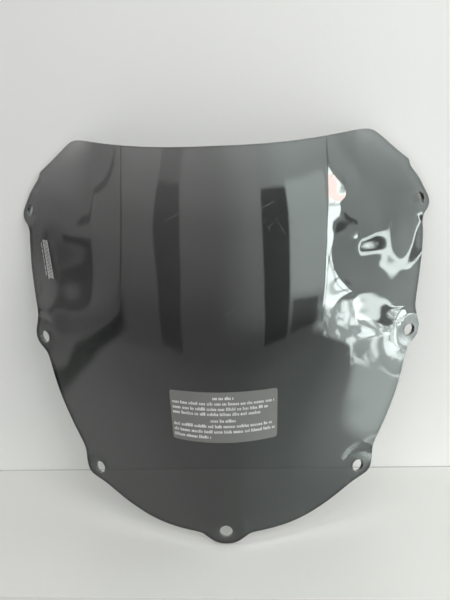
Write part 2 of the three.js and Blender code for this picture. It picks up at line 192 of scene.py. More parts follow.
def slopes(depth, x, z, step=0.05):
    return ((depth(x + step, z) - depth(x - step, z)) / (2 * step),
            (depth(x, z + step) - depth(x, z - step)) / (2 * step))


def find_holes():
    """Place and surface slope of each hole, left before right."""
    holes = []
    for hole_x, hole_z in HOLE_CENTRES:
        for side in ([1] if hole_x == 0 else [-1, 1]):
            x, z = np.array([side * hole_x]), np.array([hole_z])
            slope_x, slope_z = slopes(moulded, x, z)
            holes.append(dict(
                x=side * hole_x, y=float(moulded(x, z)[0]), z=hole_z,
                slope_x=0.0 if hole_x == 0 else float(slope_x[0]), slope_z=float(slope_z[0])))
    return holes


HOLES = find_holes()


def ripple_weight(t):
    t = np.abs(t)
    return np.where(t < 1, (4 - 6 * t * t + 3 * t ** 3) / 6, np.clip(2 - t, 0, None) ** 3 / 6)


def ripple(x, z):
    """Bicubic B-spline over the right flank, nothing outside the net."""
    x, z = np.broadcast_arrays(np.asarray(x, float), np.asarray(z, float))
    a, b = (x - RIPPLE_X0) / RIPPLE_STEP + 1, (z - RIPPLE_Z0) / RIPPLE_STEP + 1
    pad = 3
    net = np.pad(RIPPLE, pad)
    i, j = np.floor(a).astype(int), np.floor(b).astype(int)
    y = np.zeros(x.shape)
    for di in (-1, 0, 1, 2):
        weight = ripple_weight(a - (i + di))
        row = np.clip(i + di + pad, 0, net.shape[0] - 1)
        for dj in (-1, 0, 1, 2):
            column = np.clip(j + dj + pad, 0, net.shape[1] - 1)
            y = y + weight * ripple_weight(b - (j + dj)) * net[row, column]
    return y


def outer_depth(x, z):
    y = moulded(x, z) + ripple(x, z)
    for hole in HOLES:
        dx, dz = x - hole["x"], z - hole["z"]
        dy = hole["slope_x"] * dx + hole["slope_z"] * dz
        r = np.sqrt(dx * dx + dy * dy + dz * dz)
        share = 1 - ease(PAD_FLAT_R, PAD_BLEND_R, r)
        y = y + np.where(r < PAD_BLEND_R, share * (hole["y"] + dy - y), 0.0)
    return y


def unit(vectors):
    return vectors / np.linalg.norm(vectors, axis=-1, keepdims=True)


def on_sheet(x, z, inward=0.0):
    """Points of the outer face moved inward along its normal, and the outward normals."""
    x, z = np.asarray(x, float), np.asarray(z, float)
    slope_x, slope_z = slopes(outer_depth, x, z)
    normals = unit(np.stack([slope_x, -np.ones_like(slope_x), slope_z], -1))
    points = np.stack([x, outer_depth(x, z), z], -1)
    return points - np.asarray(inward, float)[..., None] * normals, normals


# --------------------------------------------------------------------- loops
def edge_curve():
    """Centripetal Catmull-Rom curve through the outline, both sides, 16 points a span."""
    half = np.array(EDGE, float)
    pts = np.vstack([half, half[::-1][1:-1] * [-1, 1]])
    count, curve = len(pts), []
    for k in range(count):
        p0, p1, p2, p3 = (pts[(k + d) % count] for d in (-1, 0, 1, 2))
        d0, d1, d2 = (max(float(np.sum((a - b) ** 2)) ** 0.25, 1e-4)
                      for a, b in ((p0, p1), (p1, p2), (p2, p3)))
        t1 = ((p1 - p0) / d0 - (p2 - p0) / (d0 + d1) + (p2 - p1) / d1) * d1
        t2 = ((p2 - p1) / d1 - (p3 - p1) / (d1 + d2) + (p3 - p2) / d2) * d1
        for t in np.arange(16) / 16:
            curve.append(p1 + t1 * t + (-3 * p1 + 3 * p2 - 2 * t1 - t2) * t * t
                         + (2 * p1 - 2 * p2 + t1 + t2) * t ** 3)
    return np.array(curve)


def resample(loop, spacing):
    """Even spacing along the loop as it lies on the sheet."""
    points, _ = on_sheet(loop[:, 0], loop[:, 1])
    lengths = np.linalg.norm(np.roll(points, -1, 0) - points, axis=1)
    along = np.concatenate([[0], np.cumsum(lengths)])
    count = int(round(along[-1] / spacing))
    wanted = np.arange(count) * along[-1] / count
    closed = np.vstack([loop, loop[:1]])
    return np.stack([np.interp(wanted, along, closed[:, k]) for k in (0, 1)], -1)


def hole_loop(hole):
    """Circle in the hole's own plane, as x, z."""
    normal = np.array([hole["slope_x"], -1, hole["slope_z"]])
    normal /= np.linalg.norm(normal)
    a = np.array([1, hole["slope_x"], 0.0])
    a /= np.linalg.norm(a)
    b = np.cross(normal, a)
    t = 2 * np.pi * np.arange(HOLE_POINTS) / HOLE_POINTS
    return np.stack([hole[key] + HOLE_D / 2 * (np.cos(t) * a[k] + np.sin(t) * b[k])
                     for key, k in (("x", 0), ("z", 2))], -1)


def inset(loop, amount, outer=True):
    """The loop moved into the material by amount, measured on the sheet, and at the old
    loop the points, the normals and the directions away from the material."""
    points, normals = on_sheet(loop[:, 0], loop[:, 1])
    along = unit(np.roll(points, -1, 0) - np.roll(points, 1, 0))
    away = unit(np.cross(along, normals))
    # away from the middle for the outline, towards it for a hole
    from_middle = (away[:, [0, 2]] * (loop - loop.mean(0))).sum()
    if (from_middle < 0) == outer:
        away = -away
    return (points - amount * away)[:, [0, 2]], points, normals, away


def in_polygon(pts, loop):
    inside = np.zeros(len(pts), bool)
    for (x0, z0), (x1, z1) in zip(loop, np.roll(loop, -1, 0)):
        if z0 == z1:
            continue
        crosses = (z0 > pts[:, 1]) != (z1 > pts[:, 1])
        inside ^= crosses & (pts[:, 0] < (x1 - x0) * (pts[:, 1] - z0) / (z1 - z0) + x0)
    return inside


def in_material(pts, loops):
    """Inside the outline, which is the first loop, and outside every hole."""
    inside = in_polygon(pts, loops[0])
    for loop in loops[1:]:
        inside &= ~in_polygon(pts, loop)
    return inside


def new_mesh(name, points, faces, normals, floats=None):
    """Smooth mesh from tip-frame points. floats: {attribute name: per-vertex values}."""
    mesh = bpy.data.meshes.new(name)
    mesh.from_pydata([tuple(p) for p in (np.asarray(points) - TIP) * MM], [],
                     [tuple(int(i) for i in face) for face in faces])
    mesh.update()
    mesh.polygons.foreach_set("use_smooth", np.ones(len(mesh.polygons), bool))
    for key, values in (floats or {}).items():
        attr = mesh.attributes.new(key, "FLOAT", "POINT")
        attr.data.foreach_set("value", np.asarray(values, np.float32))
    mesh.normals_split_custom_set_from_vertices([tuple(v) for v in normals])
    ob = bpy.data.objects.new(name, mesh)
    bpy.context.scene.collection.objects.link(ob)
    return ob


# ---------------------------------------------------------------- the sheet
def inner_points(loops):
    """Grid points in the material, clear of the border points."""
    xs = np.concatenate([np.arange(*band) for band in GRID_X])
    xs = np.unique(np.concatenate([-xs, xs]))
    grid_x, grid_z = np.meshgrid(xs, np.arange(*GRID_Z))
    grid = np.stack([grid_x.ravel(), grid_z.ravel()], -1)
    grid = grid[in_material(grid, loops)]
    border = np.vstack(loops)
    nearest = np.full(len(grid), 1e9)
    for k in range(0, len(border), 64):
        d = grid[:, None, :] - border[None, k:k + 64, :]
        nearest = np.minimum(nearest, (d * d).sum(-1).min(1))
    return grid[nearest > GRID_GAP ** 2]


def triangulate(pts, loops):
    """Triangles of the material, anticlockwise in x, z: the outer face's winding."""
    edges, start = [], 0
    for loop in loops:
        count = len(loop)
        edges += [(start + i, start + (i + 1) % count) for i in range(count)]
        start += count
    coords_2d = [Vector((float(x), float(z))) for x, z in pts]
    made = delaunay_2d_cdt(coords_2d, edges, [], 0, 1e-7)
    source = [ids[0] for ids in made[3]]
    tris = np.array([[source[i] for i in tri] for tri in made[2] if len(tri) == 3])
    tris = tris[in_material(pts[tris].mean(1), loops)]
    a, b, c = pts[tris[:, 0]], pts[tris[:, 1]], pts[tris[:, 2]]
    anticlockwise = ((b[:, 0] - a[:, 0]) * (c[:, 1] - a[:, 1])
                     - (b[:, 1] - a[:, 1]) * (c[:, 0] - a[:, 0])) > 0
    tris[~anticlockwise] = tris[~anticlockwise][:, ::-1]
    return tris


def rim_rings(points, normals, away, radius, steps):
    """Rings over a rounded edge from the outer face to the inner: points, normals, rim."""
    for face, order in ((1, range(1, steps + 1)), (-1, range(steps, 0, -1))):
        for k in order:
            t = k / steps * math.pi / 2
            drop = radius * math.cos(t)
            depth = radius - drop if face == 1 else THICKNESS - radius + drop
            yield (points + (-radius + radius * math.sin(t)) * away - depth * normals,
                   face * math.cos(t) * normals + math.sin(t) * away,
                   np.full(len(points), k / steps))


def build_panel():
    outline = inset(resample(edge_curve(), EDGE_SPACING), TRIM)[0]
    rims = [(outline, EDGE_ROUND, EDGE_STEPS, True)]
    rims += [(hole_loop(hole), HOLE_ROUND, HOLE_STEPS, False) for hole in HOLES]
    insets = [inset(loop, radius, outer) for loop, radius, _, outer in rims]
    loops = [made[0] for made in insets]
    flat = np.vstack(loops + [inner_points(loops)])
    tris = triangulate(flat, loops)
    front, front_normals = on_sheet(flat[:, 0], flat[:, 1], 0.0)
    back, _ = on_sheet(flat[:, 0], flat[:, 1], THICKNESS)
    count = len(flat)
    points, normals = [front, back], [front_normals, -front_normals]
    rim = [np.zeros(count), np.zeros(count)]
    faces = [tuple(t) for t in tris]
    faces += [(t[0] + count, t[2] + count, t[1] + count) for t in tris]
    total, start = 2 * count, 0
    for loop, (_, *edge), (_, radius, steps, outer) in zip(loops, insets, rims):
        size = len(loop)
        ids = [np.arange(size) + start]
        for ring in rim_rings(*edge, radius, steps):
            for store, values in zip((points, normals, rim), ring):
                store.append(values)
            ids.append(np.arange(size) + total)
            total += size
        ids.append(np.arange(size) + start + count)
        area = np.sum(loop[:, 0] * np.roll(loop[:, 1], -1) - np.roll(loop[:, 0], -1) * loop[:, 1])
        flip = (area > 0) != outer
        for u, v in zip(ids[:-1], ids[1:]):
            for i in range(size):
                j = (i + 1) % size
                quad = (u[i], v[i], v[j], u[j])
                faces.append(quad[::-1] if flip else quad)
        start += size
    points = np.vstack(points)
    hole_gap = np.full(len(points), 1e3)
    for hole in HOLES:
        centre = np.array([hole["x"], hole["y"], hole["z"]])
        hole_gap = np.minimum(hole_gap, np.linalg.norm(points - centre, axis=1))
    inner = np.concatenate([np.zeros(count), np.ones(count), np.full(len(points) - 2 * count, 0.5)])
    return new_mesh("sheet", points, faces, np.vstack(normals),
                    {"rim": np.concatenate(rim), "hole_gap": hole_gap, "inner": inner})


# ------------------------------------------------------------- film and mark
LABEL_W, LABEL_H, LABEL_CORNER = 80.5, 39.8, 2.0
LABEL_AT = (1.2, 104.9)
LABEL_RISE, LABEL_TAPER = 1.4, 0.0007  # lift of the side edges, widening per mm of height
LABEL_LOW, LABEL_HIGH = 0.02, 0.11  # underside and top of the film above the outer face
# Print on the film: start, end, and distance of the line's middle below the top edge.
LABEL_LINES = [
    (-8, 8, 4.6), (-38.6, 38.2, 8.9), (-38.6, 33.6, 13.1), (-38.6, 28.0, 17.1),
    (-10, 10, 22.3), (-38.6, 36.4, 26.7), (-38.6, 38.4, 31.0), (-38.6, -10.0, 35.3),
]
# low, high: height above the outer face; gap, tick: ranges of spacing and of width;
# word: range of ticks in a group; space: extra gap after a group
LABEL_TICKS = dict(height=2.5, low=0.1, high=0.13, gap=(0.22, 0.36), tick=(0.55, 1.05),
                   word=(3, 9), space=1.0)

MARK_L, MARK_AT, MARK_TILT = 33.5, (-146.4, 216.3), 0.19
MARK_HIGH = 0.05
HATCH_W, HATCH_L, HATCH_PITCH, HATCH_MID, HATCH_SLANT = 0.42, 4.4, 1.15, 1.9, 0.35
HATCH_MARGIN = 1.4
RULES, RULE_W = (-0.5, 4.3), 0.32
MARK_TICKS_AT, MARK_TICKS_MARGIN = -2.6, 3
MARK_TICKS = dict(height=1.0, low=0.0, high=MARK_HIGH, gap=(0.25, 0.4), tick=(0.25, 0.45),
                  word=(3, 7), space=0.8)

rng = np.random.default_rng(515)


def label_place(s, t):
    return (LABEL_AT[0] + s * (1 + LABEL_TAPER * t),
            LABEL_AT[1] + t + LABEL_RISE * (s / (LABEL_W / 2)) ** 2 - LABEL_RISE / 2)


def mark_place(s, t):
    """s runs down the mark and t across it."""
    c, n = math.cos(MARK_TILT), math.sin(MARK_TILT)
    return (MARK_AT[0] + t * c + s * n, MARK_AT[1] - s * c + t * n)


def hatch_place(s, t):
    return mark_place(s + HATCH_SLANT * (t - HATCH_MID), t)


def patch(width, height, low, high, place, corner=0.0, centre=(0.0, 0.0), step=1.5):
    """Points, faces and normals of a thin patch on the sheet, its underside low and its
    top high above the outer face. place maps the patch's own s, t to x, z."""
    least = 6 if corner > 0 else 1
    nu, nv = (max(least, int(math.ceil(size / step))) for size in (width, height))
    s, t = np.meshgrid(np.linspace(-0.5, 0.5, nu + 1) * width,
                       np.linspace(-0.5, 0.5, nv + 1) * height)
    if corner > 0:
        over, up = np.abs(s) - (width / 2 - corner), np.abs(t) - (height / 2 - corner)
        at_corner = (over > 0) & (up > 0)
        r = np.where(at_corner, np.hypot(over, up), 1.0)
        pull = np.where(at_corner, np.maximum(over, up) / r, 1.0)
        s = np.where(at_corner, np.sign(s) * (width / 2 - corner + over * pull), s)
        t = np.where(at_corner, np.sign(t) * (height / 2 - corner + up * pull), t)
    x, z = place(s.ravel() + centre[0], t.ravel() + centre[1])
    top, normals = on_sheet(x, z, -high)
    under, _ = on_sheet(x, z, -low)
    row, count = nu + 1, len(x)
    faces = []
    for j in range(nv):
        for i in range(nu):
            a = j * row + i
            b = a + count
            faces.append((a, a + 1, a + row + 1, a + row))
            faces.append((b, b + row, b + row + 1, b + 1))
    border = list(range(nu)) + [j * row + nu for j in range(nv)]
    border += [nv * row + i for i in range(nu, 0, -1)] + [j * row for j in range(nv, 0, -1)]
    # the side wall has its own points, so that its shading stays separate from the top
    wall_top, wall_low = top[border], under[border]
    along = np.roll(wall_top, -1, 0) - np.roll(wall_top, 1, 0)
    away = np.cross(along, normals[border])
    away /= np.linalg.norm(away, axis=1, keepdims=True) + 1e-12
    if ((wall_top - wall_top.mean(0)) * away).sum() < 0:
        away = -away
    size = len(border)
    for i in range(size):
        a, b = 2 * count + i, 2 * count + (i + 1) % size
        faces.append((a, a + size, b + size, b))
    return (np.vstack([top, under, wall_top, wall_low]), faces,
            np.vstack([normals, -normals, away, away]))


def merge(parts):
    points, faces, normals, start = [], [], [], 0
    for part_points, part_faces, part_normals in parts:
        points.append(part_points)
        normals.append(part_normals)
        faces += [tuple(i + start for i in face) for face in part_faces]
        start += len(part_points)
    return np.vstack(points), faces, np.vstack(normals)


def tick_line(start, end, y, place, height, low, high, gap, tick, word, space):
    """A line of short upright ticks in groups, a stand-in pattern that says nothing."""
    ticks, x = [], start
    while x < end - 0.5:
        for _ in range(int(rng.integers(*word))):
            width = float(rng.uniform(*tick))
            if x + width > end:
                break
            tall = height * float(rng.choice([0.68, 0.68, 0.72, 1.0]))
            centre = (x + width / 2, y + (tall - height) / 2)
            ticks.append(patch(width, tall, low, high, place, centre=centre, step=2.0))
            x += width + float(rng.uniform(*gap))
        x += space
    return ticks


def build_label():
    film = new_mesh("film", *patch(LABEL_W, LABEL_H, LABEL_LOW, LABEL_HIGH, label_place,
                                   corner=LABEL_CORNER))
    ticks = []
    for start, end, down in LABEL_LINES:
        ticks += tick_line(start, end, LABEL_H / 2 - down, label_place, **LABEL_TICKS)
    return film, new_mesh("film_print", *merge(ticks))


def build_mark():
    """Slanted hatching between two thin rules and a finer row of ticks, down the edge."""
    parts = []
    end = MARK_L / 2 - HATCH_MARGIN
    x = -MARK_L / 2 + HATCH_MARGIN
    while x < end:
        parts.append(patch(HATCH_W, HATCH_L, 0.0, MARK_HIGH, hatch_place,
                           centre=(x, HATCH_MID), step=0.8))
        x += HATCH_PITCH
    for t in RULES:
        parts.append(patch(MARK_L - 2, RULE_W, 0.0, MARK_HIGH, mark_place,
                           centre=(0.0, t), step=2.0))
    end = MARK_L / 2 - MARK_TICKS_MARGIN
    parts += tick_line(-end, end, MARK_TICKS_AT, mark_place, **MARK_TICKS)
    return new_mesh("mark_print", *merge(parts))


# ------------------------------------------------------------ node arithmetic
class Value:
    """A float socket that can be added, multiplied and stepped while building a tree."""

    def __init__(self, tree, out):
        self.tree, self.out = tree, out

    def __add__(self, other): return maths(self.tree, "ADD", self, other)
    def __radd__(self, other): return maths(self.tree, "ADD", other, self)
    def __sub__(self, other): return maths(self.tree, "SUBTRACT", self, other)
    def __rsub__(self, other): return maths(self.tree, "SUBTRACT", other, self)
    def __mul__(self, other): return maths(self.tree, "MULTIPLY", self, other)
    def __rmul__(self, other): return maths(self.tree, "MULTIPLY", other, self)
    def __truediv__(self, other): return maths(self.tree, "DIVIDE", self, other)
    def __abs__(self): return maths(self.tree, "ABSOLUTE", self)
    def max(self, other): return maths(self.tree, "MAXIMUM", self, other)
    def min(self, other): return maths(self.tree, "MINIMUM", self, other)

    def step(self, a, b):
        """Smooth 0 to 1 from a to b."""
        lo, hi, at_lo, at_hi = (a, b, 0.0, 1.0) if a <= b else (b, a, 1.0, 0.0)
        node = add(self.tree, "ShaderNodeMapRange", interpolation_type="SMOOTHSTEP", clamp=True,
                   Value=self, From_Min=lo, From_Max=hi, To_Min=at_lo, To_Max=at_hi)
        return Value(self.tree, node.outputs["Result"])

    def span(self, a, b, soft):
        """1 between a and b with soft ends."""
        return self.step(a - soft, a + soft) * self.step(b + soft, b - soft)


def plug(tree, value, socket):
    if isinstance(value, Value):
        tree.links.new(value.out, socket)
    elif isinstance(value, bpy.types.NodeSocket):
        tree.links.new(value, socket)
    elif isinstance(value, tuple) and len(value) == 3 and socket.type == "RGBA":
        socket.default_value = (*value, 1.0)
    else:
        socket.default_value = value


def maths(tree, operation, *values):
    node = add(tree, "ShaderNodeMath", operation=operation)
    for i, value in enumerate(values):
        plug(tree, value, node.inputs[i])
    return Value(tree, node.outputs[0])


def add(tree, kind, **settings):
    """New node. Each setting is an input, with _ for a space, or else a property."""
    node = tree.nodes.new(kind)
    for key, value in settings.items():
        label = key.replace("_", " ")
        if label in node.inputs:
            plug(tree, value, node.inputs[label])
        else:
            setattr(node, key, value)
    return node


def empty_tree(owner):
    owner.use_nodes = True
    owner.node_tree.nodes.clear()
    return owner.node_tree


def new_material(name):
    mat = bpy.data.materials.new(name)
    return mat, empty_tree(mat)


def finish_tree(tree, shader, kind="ShaderNodeOutputMaterial"):
    add(tree, kind, Surface=shader)


def coords(tree, scale=(1, 1, 1), rotation=(0, 0, 0)):
    source = add(tree, "ShaderNodeTexCoord").outputs["Object"]
    return add(tree, "ShaderNodeMapping", Vector=source, Scale=scale, Rotation=rotation).outputs[0]


def noise(tree, scale, detail=2.0, rough=0.5, stretch=(1, 1, 1), distortion=0.0):
    node = add(tree, "ShaderNodeTexNoise", Scale=scale, Detail=detail, Roughness=rough,
               Distortion=distortion, Vector=coords(tree, stretch))
    return Value(tree, node.outputs[0])


def attribute(tree, name):
    return Value(tree, add(tree, "ShaderNodeAttribute", attribute_name=name).outputs["Fac"])


def separate(tree, vector):
    node = add(tree, "ShaderNodeSeparateXYZ", Vector=vector)
    return [Value(tree, out) for out in node.outputs]


def scaled(tree, colour, factor):
    node = add(tree, "ShaderNodeVectorMath", operation="SCALE")
    plug(tree, colour, node.inputs[0])
    plug(tree, factor, node.inputs["Scale"])
    return node.outputs[0]


def mix_shader(tree, fac, a, b):
    node = tree.nodes.new("ShaderNodeMixShader")
    for i, value in enumerate((fac, a, b)):
        plug(tree, value, node.inputs[i])
    return node.outputs[0]


def mix_colour(tree, fac, a, b):
    node = add(tree, "ShaderNodeMix", data_type="RGBA")
    for i, value in ((0, fac), (6, a), (7, b)):
        plug(tree, value, node.inputs[i])
    return node.outputs[2]


def bump(tree, height, strength, distance, normal=None):
    node = add(tree, "ShaderNodeBump", Strength=strength, Distance=distance, Height=height)
    if normal is not None:
        plug(tree, normal, node.inputs["Normal"])
    return node.outputs[0]


# ------------------------------------------------------------------ materials
SHEET_PASS = 0.30  # light let through at each face; the whole sheet passes its square
SHEET_IOR = 1.49
SCRATCH_SETS = [(0.35, 38.0), (-0.9, 52.0), (1.9, 30.0)]  # turn about Y, band scale


def scratches(tree):
    """Three sets of thin arcs, each broken by noise."""
    found = None
    for k, (turn, size) in enumerate(SCRATCH_SETS):
        wave = add(tree, "ShaderNodeTexWave", wave_type="BANDS", bands_direction="X", Scale=size,
                   Distortion=5.5, Detail=1.5, Detail_Scale=0.8,
                   Vector=coords(tree, rotation=(0.0, turn, 0.4 * k)))
        breaks = noise(tree, scale=24.0 + 7 * k, rough=0.6).step(0.60, 0.72)
        line = Value(tree, wave.outputs[1]).step(0.9965, 1.0) * breaks
        found = line if found is None else found.max(line)
    return found


def smoke_acrylic():
    mat, tree = new_material("smoke_acrylic")
    back = Value(tree, add(tree, "ShaderNodeNewGeometry").outputs["Backfacing"])
    rim, gap = attribute(tree, "rim"), attribute(tree, "hole_gap")
    # slow waviness left by forming, and the finer orange peel of the hot sheet
    slow = noise(tree, scale=16.0, detail=1.0, rough=0.4, stretch=(1, 1, 0.7))
    fine = noise(tree, scale=190.0)
    scratch = scratches(tree)
    # finger smudges, a haze round each hole and specks of dust in patches
    smudge = noise(tree, scale=26.0, detail=4.0, rough=0.62, distortion=0.8).step(0.50, 0.78)
    ring = gap.step(9.5, 6.0) * (1.0 - rim)
    cells = add(tree, "ShaderNodeTexVoronoi", feature="F1", Scale=520.0, Vector=coords(tree))
    patches = noise(tree, scale=60.0, detail=1.0).step(0.52, 0.70)
    speck = Value(tree, cells.outputs["Distance"]).step(0.13, 0.03) * patches
    # a polished base, roughened by each kind of wear
    rough = 0.014 + 0.045 * smudge + 0.14 * scratch + 0.04 * ring + 0.04 * speck
    normal = bump(tree, slow, strength=0.10, distance=0.004)
    normal = bump(tree, fine, strength=0.006, distance=0.0004, normal=normal)
    normal = bump(tree, scratch, strength=0.25, distance=0.0001, normal=normal)
    # the same reflectance from either side, as no bending is drawn in so thin a sheet
    fresnel = add(tree, "ShaderNodeFresnel", Normal=normal,
                  IOR=SHEET_IOR * (1.0 - back) + (1 / SHEET_IOR) * back)
    gloss = add(tree, "ShaderNodeBsdfGlossy", Color=(1, 1, 1), Roughness=rough, Normal=normal)
    clear = add(tree, "ShaderNodeBsdfTransparent",
                Color=(SHEET_PASS * 0.985, SHEET_PASS * 1.01, SHEET_PASS))
    dust = add(tree, "ShaderNodeBsdfDiffuse", Color=(0.55, 0.56, 0.55))
    body = mix_shader(tree, fresnel.outputs[0], clear.outputs[0], gloss.outputs[0])
    # how much each kind of wear covers the clear sheet
    cover = 0.003 + 0.012 * smudge + 0.11 * speck + 0.025 * ring + 0.10 * scratch
    body = mix_shader(tree, cover, body, dust.outputs[0])
    # the trimmed edge: light is lost along the sheet, so it is near black, with saw marks
    saw = noise(tree, scale=900.0, rough=0.6)
    edge = add(tree, "ShaderNodeBsdfPrincipled", Roughness=0.16 + 0.22 * saw, IOR=SHEET_IOR,
               Base_Color=mix_colour(tree, saw, (0.012, 0.013, 0.013), (0.03, 0.031, 0.031)),
               Normal=bump(tree, saw, strength=0.3, distance=0.0002))
    finish_tree(tree, mix_shader(tree, rim.step(0.05, 0.8), body, edge.outputs[0]))
    return mat


def label_film():
    mat, tree = new_material("label_film")
    grain = noise(tree, scale=700.0, detail=3.0, rough=0.6)
    cloud = noise(tree, scale=30.0, detail=3.0)
    tone = cloud * 0.5 + grain * 0.5
    film = add(tree, "ShaderNodeBsdfPrincipled", IOR=1.46,
               Roughness=0.34 + 0.12 * grain + 0.08 * cloud,
               Base_Color=mix_colour(tree, tone, (0.135, 0.138, 0.131), (0.185, 0.188, 0.179)),
               Normal=bump(tree, grain, strength=0.12, distance=0.0002))
    finish_tree(tree, film.outputs[0])
    return mat


def printed_ink(name, worn, full):
    mat, tree = new_material(name)
    grain = noise(tree, scale=1400.0, rough=0.65)
    wear = noise(tree, scale=160.0, detail=4.0, rough=0.65).step(0.35, 0.62)
    ink = add(tree, "ShaderNodeBsdfPrincipled", Roughness=0.42 + 0.2 * grain, IOR=1.45,
              Base_Color=mix_colour(tree, wear * 0.8 + grain * 0.2, worn, full),
              Normal=bump(tree, grain, strength=0.15, distance=0.0001))
    finish_tree(tree, ink.outputs[0])
    return mat


def plain_paint(name, colour, rough, grain_scale, one_sided=False, left=1.0, near=1.0):
    """left and near: painted light, the brightness at the far left and at the table's near edge, for the light that
    falls from the right and the front.
    """
    mat, tree = new_material(name)
    grain = noise(tree, grain_scale, detail=4.0, rough=0.6)
    slow = noise(tree, scale=5.0)
    x, y, _ = separate(tree, coords(tree))
    # painted light and shade: lighter towards the right and at the table's near edge, and darker again at the far right
    tone = ((left + (1.0 - left) * x.step(-0.42, 0.36))
            * (1.0 + (near - 1.0) * y.step(0.05, -0.11)))
    tone = tone * (1.0 - 0.45 * x.step(0.25, 0.72))  # the far right is held back from glaring
    dark = tuple(c * 0.97 for c in colour)
    mottled = mix_colour(tree, grain * 0.5 + slow * 0.5, dark, colour)
    surface = add(tree, "ShaderNodeBsdfPrincipled", Roughness=rough + 0.1 * grain,
                  Base_Color=scaled(tree, mottled, tone),
                  Normal=bump(tree, grain, strength=0.05, distance=0.0006)).outputs[0]
    if one_sided:  # clear when seen from behind, so that it never hides the sheet
        back = Value(tree, add(tree, "ShaderNodeNewGeometry").outputs["Backfacing"])
        seen = Value(tree, add(tree, "ShaderNodeLightPath").outputs["Is Camera Ray"])
        clear = add(tree, "ShaderNodeBsdfTransparent")
        surface = mix_shader(tree, back * seen, surface, clear.outputs[0])
    finish_tree(tree, surface)
    return mat


# ----------------------------------------------------------------- the pieces
sheet = build_panel()
sheet.data.materials.append(smoke_acrylic())
film, film_print = build_label()
film.data.materials.append(label_film())
film_print.data.materials.append(
    printed_ink("film_ink", worn=(0.50, 0.50, 0.48), full=(0.72, 0.72, 0.70)))
mark_print = build_mark()
mark_print.data.materials.append(
    printed_ink("mark_ink", worn=(0.52, 0.53, 0.52), full=(0.72, 0.73, 0.72)))

for ob, node, slot in (
    (sheet, "screen_panel", "smoke_acrylic"),
    (film, "info_label", "label_film"),
    (film_print, "info_label", "label_film"),
    (mark_print, "side_mark", "printed_ink"),
):
    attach(ob, "root")
    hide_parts(node)

# ----------------------------------------------------------------------- stage
# Row frame, millimetres.
WALL_Y0, WALL_TURN = 56.98, 0.0066  # wall's y at the middle, and its change per mm of x
REACH = 2200  # half width of the set
TABLE_NEAR, TABLE_Z = -113.0, -0.05
WALL_LEFT, WALL_RIGHT = (WALL_Y0 + WALL_TURN * x for x in (-REACH, REACH))


def slab(name, mat, low, high):
    """One rectangle across the set; low and high are edges as left y, right y, z."""
    (low_left, low_right, low_z), (high_left, high_right, high_z) = low, high
    corners = [(-REACH, low_left, low_z), (REACH, low_right, low_z),
               (REACH, high_right, high_z), (-REACH, high_left, high_z)]
    mesh = bpy.data.meshes.new(name)
    mesh.from_pydata([tuple(c * MM for c in p) for p in corners], [], [(0, 1, 2, 3)])
    mesh.update()
    mesh.materials.append(mat)
    ob = bpy.data.objects.new(name, mesh)
    bpy.context.scene.collection.objects.link(ob)
    ob.visible_glossy = False  # the sheet mirrors the room, not the set


# painted light: the wall and the table darker towards the left, as the light falls from the right, and the table
# lighter at its near edge
wall_paint = plain_paint("wall_paint", (0.93, 0.935, 0.92), rough=0.6, grain_scale=260.0,
                         one_sided=True, left=0.78)
table_paint = plain_paint("table_paint", (0.735, 0.735, 0.71), rough=0.45, grain_scale=300.0,
                          left=0.80, near=1.14)
slab("wall", wall_paint, (WALL_LEFT, WALL_RIGHT, -0.5), (WALL_LEFT, WALL_RIGHT, 2600))
slab("table_top", table_paint, (TABLE_NEAR, TABLE_NEAR, TABLE_Z),
     (WALL_LEFT + 1, WALL_RIGHT + 1, TABLE_Z))
slab("table_front", table_paint, (TABLE_NEAR, TABLE_NEAR, -30), (TABLE_NEAR, TABLE_NEAR, TABLE_Z))
# painted shade: a thin dark strip where the wall meets the table, in place of the shadow in that corner
corner_shade_paint = plain_paint("corner_shade_paint", (0.50, 0.50, 0.48), rough=0.7, grain_scale=300.0)
slab("corner_shade_strip", corner_shade_paint, (WALL_LEFT - 0.4, WALL_RIGHT - 0.4, -0.04),
     (WALL_LEFT - 0.2, WALL_RIGHT - 0.2, 0.75))

# ------------------------------------------------------------- mirrored room
# The room is drawn by bearing (0 towards -Y, positive towards +X) and rise above
# level, both in degrees. Glow is the brightness seen in the sheet.
REFLECT = 0.0387  # share of the room that the sheet mirrors when met head on


def brighten(glow, amount, first, second):
    return glow + amount * first * second


def darken(glow, share, first, second):
    return glow * (1.0 - share * first * second)


def room_walls(bearing, rise):
    """Darker towards the floor line, lighter up and to the right."""
    glow = (0.034 - 0.010 * rise.span(-14, -3, soft=4) + 0.022 * rise.step(-4, 12)
            + 0.027 * rise.step(12, 28) + 0.045 * rise.step(26, 42))
    upper = rise.step(-9, -3)
    glow = (glow + upper * (0.040 * bearing.step(-6, 14) + 0.045 * bearing.step(14, 34))
            + (1.0 - upper) * (0.012 * bearing.step(0, 40) + 0.040 * bearing.step(46, 72)))
    glow = glow - 0.014 * bearing.step(-70, -100)
    # pale wall right of the doorway
    glow = brighten(glow, 0.085, bearing.span(27.5, 45, soft=1.2), rise.span(-2, 26.5, soft=1.5))
    # dark curtain left of the middle, and a fainter band above it
    glow = glow * (1.0 - 0.60 * bearing.span(-31, -20.5, soft=0.8) * rise.span(-10, 26.5, soft=1.2)
                   - 0.30 * bearing.span(-31, -20.5, soft=0.8) * rise.step(25.5, 28))
    # doorway
    glow = darken(glow, 0.82, bearing.span(16.2, 27.2, soft=0.6), rise.span(-9.5, 25, soft=0.8))
    # low desk right of the doorway, lowered by a fixed amount
    desk_shift = maths(rise.tree, "SINE", 0.5) * 1.2
    return darken(glow, 0.60, bearing.span(28.6, 39.5, soft=0.6),
                  (rise + desk_shift).span(-8.5, -2.2, soft=0.5))


